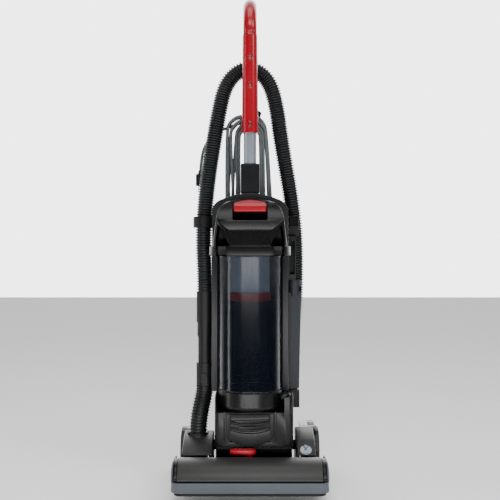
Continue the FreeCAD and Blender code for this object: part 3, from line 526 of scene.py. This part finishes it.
powerCord = smoothLine("powerCord", leadRoute + hankTurns()[4:] + tailRoute[1:])
cordPath = linePoints(powerCord)
powerCord.data.splines[0].resolution_u = 4
powerCord.data.bevel_depth = cord["diameter"] / 2 * mm
powerCord.data.bevel_resolution = 3
powerCord.data.use_fill_caps = True
powerCord.data.materials.append(finishes["cordGrey"])
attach(powerCord, "upright")
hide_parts("cord_hank", "cord_lead", "cord_tail")
print("cord", round(lengthOf(cordPath), 3))


# nozzle

def dressNode(nodeName, finish):
    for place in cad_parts[nodeName].material_slots:
        place.material = finishes[finish]


bumper = {"grooveLow": 7.0, "grooveHigh": 5.6, "shrink": 0.9955, "edge": 1.6}


def makeBumper():
    # a soft band with a shallow groove run round it under the top edge
    band = copyNode("bumper")
    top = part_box("bumper")[1][2] / mm
    grooveLow, grooveHigh = top - bumper["grooveLow"], top - bumper["grooveHigh"]
    startEditing(band)
    for level in (grooveLow, grooveHigh):
        bpy.ops.mesh.select_all(action="SELECT")
        bpy.ops.mesh.bisect(plane_co=(0, 0, level * mm), plane_no=(0, 0, 1))
    chooseFaces(band, lambda spot, way: grooveLow < spot.z < grooveHigh and abs(way.z) < 0.3
                and (spot.y < -163 or abs(spot.x) > 175 or spot.x ** 2 + (spot.y + 143) ** 2 > 177 ** 2))
    bpy.ops.transform.resize(value=(bumper["shrink"], bumper["shrink"], 1), center_override=(0, -0.03, 0))
    stopEditing()
    roundEdges(band, bumper["edge"])
    finishPiece(band, "bumperBand", "nozzle", finishes["bumperGrey"], ("bumper",))


ears = {"outline": [(-156, 50), (-44, 50), (-44, 74), (-60, 83), (-128, 86), (-148, 76), (-156, 62)],
        "inner": 172.4, "outer": 176.4, "edge": 1.4}


def makeHood():
    softPiece("nozzle_hood", "hoodShell", "nozzle", finishes["hoodGrey"], 1.4, 4, 50)
    softPiece("hood_end_caps", "hoodEnds", "nozzle", finishes["glossBlack"], 1.8)
    # thin raised ears that carry the bumper's grey up round the ends of the cover
    pair = []
    for low, high in ((-ears["outer"], -ears["inner"]), (ears["inner"], ears["outer"])):
        ear = drawOutline(ears["outline"], "X", low, high)
        roundEdges(ear, ears["edge"], 3)
        pair.append(ear)
    finishPiece(joinPieces(pair, "ears"), "bumperEars", "nozzle", finishes["bumperGrey"])


badge = {"centre": (132, -52), "radius": 13.5, "rim": 1.8, "sides": 64}


def makeFenders():
    for side in ("left", "right"):
        softPiece(f"fender_{side}", f"fenderShell{side.title()}", "nozzle",
                  finishes["hoodGrey"], 3.2, 4)
    # a plain round disc let into the slope of the right fender
    clearSelection()
    x, y = badge["centre"]
    bpy.ops.mesh.primitive_cylinder_add(vertices=badge["sides"], radius=badge["radius"] * mm,
                                        depth=3 * mm, location=(x * mm, y * mm, 93.5 * mm),
                                        rotation=(math.radians(38), 0, 0))
    disc = bpy.context.object
    settle(disc)
    startEditing(disc)
    chooseFaces(disc, lambda spot, way: way.z > 0.5)
    bpy.ops.mesh.inset(thickness=badge["rim"] * mm, depth=0)
    bpy.ops.mesh.inset(thickness=0.5 * mm, depth=-0.6 * mm)
    bpy.ops.mesh.inset(thickness=3.2 * mm, depth=0.3 * mm)
    stopEditing()
    roundEdges(disc, 0.3, 2)
    finishPiece(disc, "fenderDisc", "nozzle", finishes["stemSteel"])


wheel = {"radius": 55, "width": 42, "inner": 132.9, "sides": 96, "tyre": 9}


def makeWheel(side, sign):
    # tread blocks, a sunk face with a raised hub
    outer, inner = (wheel["inner"] + wheel["width"]) * sign, wheel["inner"] * sign
    tyre = addRound("X", (110, 55), min(outer, inner), max(outer, inner), wheel["radius"], wheel["sides"])
    middle = (outer + inner) / 2
    startEditing(tyre)
    for shift in (-13, -3, 3, 13):
        bpy.ops.mesh.select_all(action="SELECT")
        bpy.ops.mesh.bisect(plane_co=((middle + shift) * mm, 0, 0), plane_no=(1, 0, 0))

    def isGroove(spot, way):
        turn = math.degrees(math.atan2(spot.z - 55, spot.y - 110)) % 360
        block = int(turn / (360 / wheel["sides"])) % 4
        shift = abs(spot.x - middle)
        return abs(way.x) < 0.3 and (shift < 3 or (block == 0 and shift < 13))
    chooseFaces(tyre, isGroove)
    bpy.ops.transform.resize(value=(1, 0.972, 0.972), center_override=(0, 110 * mm, 55 * mm))
    chooseFaces(tyre, lambda spot, way: way.x * sign > 0.9)
    bpy.ops.mesh.inset(thickness=wheel["tyre"] * mm, depth=0)
    bpy.ops.mesh.inset(thickness=2 * mm, depth=-4.5 * mm)
    bpy.ops.mesh.inset(thickness=20 * mm, depth=1.5 * mm)
    bpy.ops.mesh.inset(thickness=1 * mm, depth=2.2 * mm)
    bpy.ops.mesh.inset(thickness=6 * mm, depth=0.8 * mm)
    chooseFaces(tyre, lambda spot, way: way.x * sign < -0.9)
    bpy.ops.mesh.inset(thickness=wheel["tyre"] * mm, depth=0)
    bpy.ops.mesh.inset(thickness=2 * mm, depth=-5 * mm)
    stopEditing()
    roundEdges(tyre, 0.8, 2, 30)
    finishPiece(tyre, f"rearWheel{side.title()}", f"wheel_{side}",
                finishes["wheelBlack"], (f"rear_wheel_{side}",))


def makeRollers():
    # the two front rollers are crowned and share one pin
    low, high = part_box("front_rollers")
    y, z, radius = (low[1] + high[1]) / 2 / mm, (low[2] + high[2]) / 2 / mm, 10
    parts = [addRound("X", (y, z), low[0] / mm, high[0] / mm, 1.5, 20)]
    for x in (-63, 86):
        roller = addRound("X", (y, z), x - 10, x + 10, radius, 48)
        startEditing(roller)
        chooseFaces(roller, lambda spot, way: abs(way.x) > 0.9)
        bpy.ops.mesh.inset(thickness=2.4 * mm, depth=0)
        bpy.ops.mesh.inset(thickness=0.6 * mm, depth=-1.6 * mm)
        stopEditing()
        roundEdges(roller, 1.3, 3, 50)
        parts.append(roller)
    finishPiece(joinPieces(parts, "rollers"), "frontRollers", "rollers",
                finishes["rollerBlack"], ("front_rollers",))


knob = {"rim": 3.4, "dome": 1.4, "edge": 2.4, "ridgeFrom": -36, "ridgeTo": 6, "ridgeHigh": 2.2}


def makeKnob():
    # domed teardrop with a finger ridge along its pointer
    cap = copyNode("height_knob")
    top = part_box("height_knob")[1][2] / mm
    startEditing(cap)
    chooseFaces(cap, lambda spot, way: way.z > 0.9 and spot.z > top - 1)
    bpy.ops.mesh.inset(thickness=knob["rim"] * mm, depth=knob["dome"] * mm)
    stopEditing()
    roundEdges(cap, knob["edge"], 4)
    ridge = addBlock((knob["ridgeFrom"], -77.2, top - 1.2), (knob["ridgeTo"], -72.8, top + knob["ridgeHigh"]))
    roundEdges(ridge, 0.9, 3)
    finishPiece(joinPieces([cap, ridge], "knob"), "heightKnob", "knob",
                finishes["signalRed"], ("height_knob",))


pedal = {"ribs": 5, "from": 82, "pitch": 11, "ribLeft": 147, "ribRight": 163, "ribLow": 117, "ribWide": 3,
         "edge": 2.0}


def makePedal():
    # the pedal's tread carries five grip ribs
    tread = copyNode("release_pedal")
    roundEdges(tread, pedal["edge"], 4)
    ribs = []
    for count in range(pedal["ribs"]):
        y = pedal["from"] + pedal["pitch"] * count
        rib = addBlock((pedal["ribLeft"], y, pedal["ribLow"]),
                       (pedal["ribRight"], y + pedal["ribWide"], 123.4 if y < 115 else 121.8))
        roundEdges(rib, 0.8, 2)
        ribs.append(rib)
    finishPiece(joinPieces([tread, *ribs], "pedal"), "releasePedal", "pedal",
                finishes["pedalGrey"], ("release_pedal",))


brush = {"y": -134, "z": 38, "core": 12, "reach": 18.7, "tufts": 36, "rows": 4, "twist": 70}


def makeBrush():
    softPiece("brush_core", "brushCore", "brush_roll", finishes["brushCore"], 0.6)
    # one tuft of fine bristles, copied along four slow spirals
    chance = random.Random(5)
    strands = []
    for strand in range(7):
        clearSelection()
        bpy.ops.mesh.primitive_cone_add(
            vertices=4, radius1=0.7 * mm, radius2=0.4 * mm,
            depth=(brush["reach"] - brush["core"] + 1) * mm,
            location=(chance.uniform(-2, 2) * mm, chance.uniform(-1.1, 1.1) * mm,
                      (brush["core"] + brush["reach"]) / 2 * mm),
            rotation=(chance.uniform(-0.08, 0.08), chance.uniform(-0.15, 0.15), 0))
        strands.append(bpy.context.object)
    tuft = joinPieces(strands, "tuft")
    settle(tuft)
    tufts = []
    for row in range(brush["rows"]):
        for count in range(brush["tufts"]):
            x = -142 + 262 * (count + 0.5) / brush["tufts"]
            turn = math.radians(45 + 90 * row + brush["twist"] * (abs(x + 11) / 131 - 0.5))
            copy = bpy.data.objects.new("tuft", tuft.data.copy())
            copy.location = (x * mm, brush["y"] * mm, brush["z"] * mm)
            copy.rotation_euler = (turn + chance.uniform(-0.05, 0.05), 0, 0)
            bpy.context.scene.collection.objects.link(copy)
            tufts.append(copy)
    bpy.data.objects.remove(tuft)
    joined = joinPieces(tufts, "tufts")
    bpy.context.view_layer.update()
    finishPiece(joined, "brushTufts", "brush_roll", finishes["nylonBristle"],
                ("brush_bristles",))


makeBumper()
makeHood()
makeFenders()
makeWheel("left", -1)
makeWheel("right", 1)
makeRollers()
makeKnob()
makePedal()
makeBrush()
print("nozzle pieces are made")


# lower housing and its filter door

def makeLowerHousing():
    # bevelled housing with a raised bar each side of the door and a domed cap on the right shoulder
    shell = copyNode("motor_housing")
    roundEdges(shell, 1.2)
    bars = []
    for side in (-1, 1):
        bar = addBlock((side * 60 - 2, -71.6, 120), (side * 60 + 2, -69.5, 188))
        roundEdges(bar, 0.8, 3)
        bars.append(bar)
    dome = addRound("Z", (82, -45), 214, 226.5, 14, 48)
    startEditing(dome)
    chooseFaces(dome, lambda spot, way: way.z > 0.9)
    bpy.ops.mesh.inset(thickness=2 * mm, depth=0.8 * mm)
    bpy.ops.mesh.inset(thickness=5 * mm, depth=0.9 * mm)
    stopEditing()
    roundEdges(dome, 2.2, 4)
    piece = joinPieces([shell, *bars, dome], "lowerShell")
    finishPiece(piece, "lowerShell", "upright", finishes["glossBlack"],
                ("motor_housing",))


def makeExhaustDoor():
    # two curved lips stand proud over the finger recess, with a shallow U groove under them
    door = copyNode("exhaust_door")
    roundEdges(door, 0.9, 3)
    lips = []
    for high, sag, wide in ((166, 5, 40), (153.5, 6.5, 42)):
        outline = [(x, high - sag * (1 - (x / wide) ** 2)) for x in range(-wide, wide + 1, 4)]
        outline += [(x, high - 4.6 - sag * (1 - (x / wide) ** 2)) for x in range(wide, -wide - 1, -4)]
        lip = drawOutline(outline, "Y", -78.6, -73)
        roundEdges(lip, 1.5, 4, 30)
        lips.append(lip)
    finishPiece(joinPieces([door, *lips], "door"), "exhaustPanel", "filter_door",
                finishes["glossBlack"], ("exhaust_door",))


# rear housing, cup and lid

def makeRearHousing():
    shell = copyNode("rear_housing")
    roundEdges(shell, 1.6, 3)
    # two thin light-catching rails down the front corners
    rails = []
    for side in (-1, 1):
        rail = addBlock((side * 86 - 1.6, -0.6, 236), (side * 86 + 1.6, 2, 548))
        roundEdges(rail, 0.5, 3)
        rails.append(rail)
    vents = []
    for count in range(12):
        z = 300 + 12 * count
        vent = addBlock((-32, 71.2, z), (32, 73.4, z + 4))
        roundEdges(vent, 1.0, 3)
        vents.append(vent)
    finishPiece(joinPieces([shell, *rails, *vents], "spine"), "archShell", "upright",
                finishes["archGrey"], ("rear_housing",))


cup = {"y": -12, "radius": 77, "wall": 2.5, "low": 233, "top": 552, "sides": 128}


def makeCup():
    # clear tube: an open ring drawn up, thickened, with a rolled foot
    clearSelection()
    bpy.ops.mesh.primitive_circle_add(vertices=cup["sides"], radius=(cup["radius"] - 1.2) * mm,
                                      location=(0, cup["y"] * mm, cup["low"] * mm))
    tube = bpy.context.object
    settle(tube)
    startEditing(tube)
    bpy.ops.mesh.select_mode(type="EDGE")
    bpy.ops.mesh.select_all(action="SELECT")
    for rise, spread in ((1.5, 1.2), (3, 0), (2, -1.2), (306, 0), (3, 0.6), (3.2, 0)):
        bpy.ops.mesh.extrude_region_move(TRANSFORM_OT_translate={"value": (0, 0, rise * mm)})
        grown = 1 + spread / cup["radius"]
        bpy.ops.transform.resize(value=(grown, grown, 1), center_override=(0, cup["y"] * mm, 0))
    bpy.ops.mesh.select_all(action="SELECT")
    bpy.ops.mesh.normals_make_consistent(inside=False)
    stopEditing()
    wall = tube.modifiers.new("wall", "SOLIDIFY")
    wall.thickness = cup["wall"] * mm
    wall.offset = -1
    applyModifiers(tube)
    finishPiece(tube, "clearCup", "cup", finishes["smokedClear"], ("dust_cup",), 50)
    softPiece("cup_base", "cupFoot", "cup", finishes["glossBlack"], 1.6, 4)


filters = {"pleats": 84, "deep": 5, "outer": 47.5, "low": 464, "top": 552}


def makeFilter():
    # paper pleats: a zigzag ring drawn up between its two caps
    sides = filters["pleats"] * 2
    outline = []
    for step in range(sides):
        radius = filters["outer"] - (filters["deep"] if step % 2 else 0)
        turn = 2 * math.pi * step / sides
        outline.append((radius * math.cos(turn), cup["y"] + radius * math.sin(turn)))
    pleats = drawOutline(outline, "Z", filters["low"] - 0.5, filters["top"])
    finishPiece(pleats, "filterPleats", "lid", finishes["filterPaper"], ("filter_cartridge",), 20)
    ringCap = addRound("Z", (0, cup["y"]), 445, 464.5, 51, 96)
    startEditing(ringCap)
    chooseFaces(ringCap, lambda spot, way: way.z < -0.9)
    bpy.ops.mesh.inset(thickness=6 * mm, depth=0)
    bpy.ops.mesh.inset(thickness=2 * mm, depth=-5 * mm)
    bpy.ops.mesh.inset(thickness=12 * mm, depth=0)
    bpy.ops.mesh.inset(thickness=2 * mm, depth=3 * mm)
    stopEditing()
    roundEdges(ringCap, 1.0, 3)
    finishPiece(ringCap, "filterRing", "lid", finishes["ringRed"])


def makeLid():
    lid = copyNode("cup_lid")
    roundEdges(lid, 2.0, 4, 28)
    finishPiece(lid, "cupLid", "lid", finishes["glossBlack"], ("cup_lid",), 32)
    latch = copyNode("cup_latch")
    roundEdges(latch, 1.8, 4)
    finishPiece(latch, "cupLatch", "latch", finishes["signalRed"], ("cup_latch",))


latchCoil = {"x": 0, "z": 674, "back": -22.4, "front": -29.6, "radius": 3.9, "wire": 0.55, "turns": 4}


def makeLatchSpring():
    # a wire ring is wound into a coil
    clearSelection()
    bpy.ops.mesh.primitive_circle_add(vertices=10, radius=latchCoil["wire"] * mm,
                                      location=(latchCoil["radius"] * mm, 0, 0))
    coil = bpy.context.object
    settle(coil)
    rise = abs(latchCoil["front"] - latchCoil["back"]) - 2 * latchCoil["wire"]
    wind = coil.modifiers.new("wind", "SCREW")
    wind.axis = "Y"
    wind.angle = 2 * math.pi
    wind.iterations = latchCoil["turns"]
    wind.screw_offset = rise / latchCoil["turns"] * mm
    wind.steps = wind.render_steps = 24
    wind.use_merge_vertices = True
    applyModifiers(coil)
    startEditing(coil)
    bpy.ops.mesh.select_mode(type="EDGE")
    bpy.ops.mesh.select_all(action="SELECT")
    bpy.ops.mesh.fill_holes(sides=0)
    bpy.ops.mesh.select_all(action="SELECT")
    bpy.ops.mesh.normals_make_consistent(inside=False)
    stopEditing()
    coil.location = (latchCoil["x"] * mm, (latchCoil["front"] + latchCoil["wire"]) * mm, latchCoil["z"] * mm)
    finishPiece(coil, "latchCoil", "lid", finishes["steel"], ("latch_spring",), 60)
    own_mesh(coil)


# handle

def makeHandle():
    softPiece("handle_socket", "handleSocket", "upright", finishes["navyBlack"], 2.4, 4)
    collar = drawOutline([(-22.4, 23.5), (22.4, 23.5), (22.4, 62.5), (-22.4, 62.5)], "Z", 774, 779.2)
    startEditing(collar)
    chooseFaces(collar, lambda spot, way: way.z > 0.9)
    bpy.ops.mesh.inset(thickness=5.2 * mm, depth=0)
    bpy.ops.mesh.inset(thickness=0.5 * mm, depth=-1.6 * mm)
    stopEditing()
    roundEdges(collar, 1.2, 3)
    finishPiece(collar, "socketCollar", "upright", finishes["navyBlack"])
    smoothPiece("handle_front", "handleFront", "upright", finishes["signalRed"])
    smoothPiece("handle_back", "handleBack", "upright", finishes["signalRed"])


def makeGrip():
    smoothPiece("handle_grip", "handleGrip", "upright", finishes["signalRed"], 50)


def makeScrews():
    # pan heads with a cross slot
    parts = []
    for z in (875, 974, 1042):
        head = addRound("Y", (0, z), 25.4, 27, 3.8, 32)
        roundEdges(head, 0.5, 3, 50)
        cutAway(head, addBlock((-2.4, 25, z - 0.45), (2.4, 26.1, z + 0.45)),
                addBlock((-0.45, 25, z - 2.4), (0.45, 26.1, z + 2.4)))
        parts += [head, addRound("Y", (0, z), 26.5, 59, 1.5, 20)]
    finishPiece(joinPieces(parts, "screws"), "handleScrews", "upright", finishes["steel"],
                ("handle_screws",))


makeLowerHousing()
makeExhaustDoor()
makeRearHousing()
makeCup()
makeFilter()
makeLid()
makeLatchSpring()
makeHandle()
makeGrip()
makeScrews()
print("upright pieces are made")


dressed = {
    "blackMoulding": ["base_chassis", "sole_plate", "hose_port", "wand_socket", "hose_clip", "tool_clip",
                      "switch_housing", "lower_cord_hook", "hose_cradle", "upper_cord_hook",
                      "strain_relief", "plug", "roller_carriage", "motor_case", "brush_bearings",
                      "wand_tube", "hose_cuff"],
    "glossBlack": ["power_switch"],
    "stemSteel": ["stem_tube"],
    "steel": ["rear_axle", "hinge_pins", "pedal_spring", "motor_rotor"],
    "beltRubber": ["drive_belt"],
    "bushNylon": ["pivot_bushes", "motor_fan"],
    "filterFoam": ["exhaust_filter"],
    "ductBlack": ["suction_duct"],
    "toolGrey": ["crevice_tool"],
}
for finish, nodeNames in dressed.items():
    for nodeName in nodeNames:
        dressNode(nodeName, finish)

bpy.data.objects.remove(hoseLine)

# short bellows duct between the nozzle and the wand socket

duct = {"diameter": 46.0, "groove": 40.0, "pitch": 7.0, "sides": 40}
ductRoute = [(-128, 23, 108), (-127, 25, 140), (-121, 32, 178), (-113, 41, 212), (-112, 42, 233)]
ductLine = smoothLine("ductLine", ductRoute)
lowerDuct = ribbedTube(ductLine, duct, [(0.2, 1.0), (0.2, 1.15), (0.2, 1.0), (0.2, 1 / 1.15), (0.2, 1.0)])
finishPiece(lowerDuct, "lowerDuct", None, finishes["ductBlack"], ("lower_hose",), 60)
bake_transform(lowerDuct)
bpy.data.objects.remove(ductLine)
print("lower duct is made")
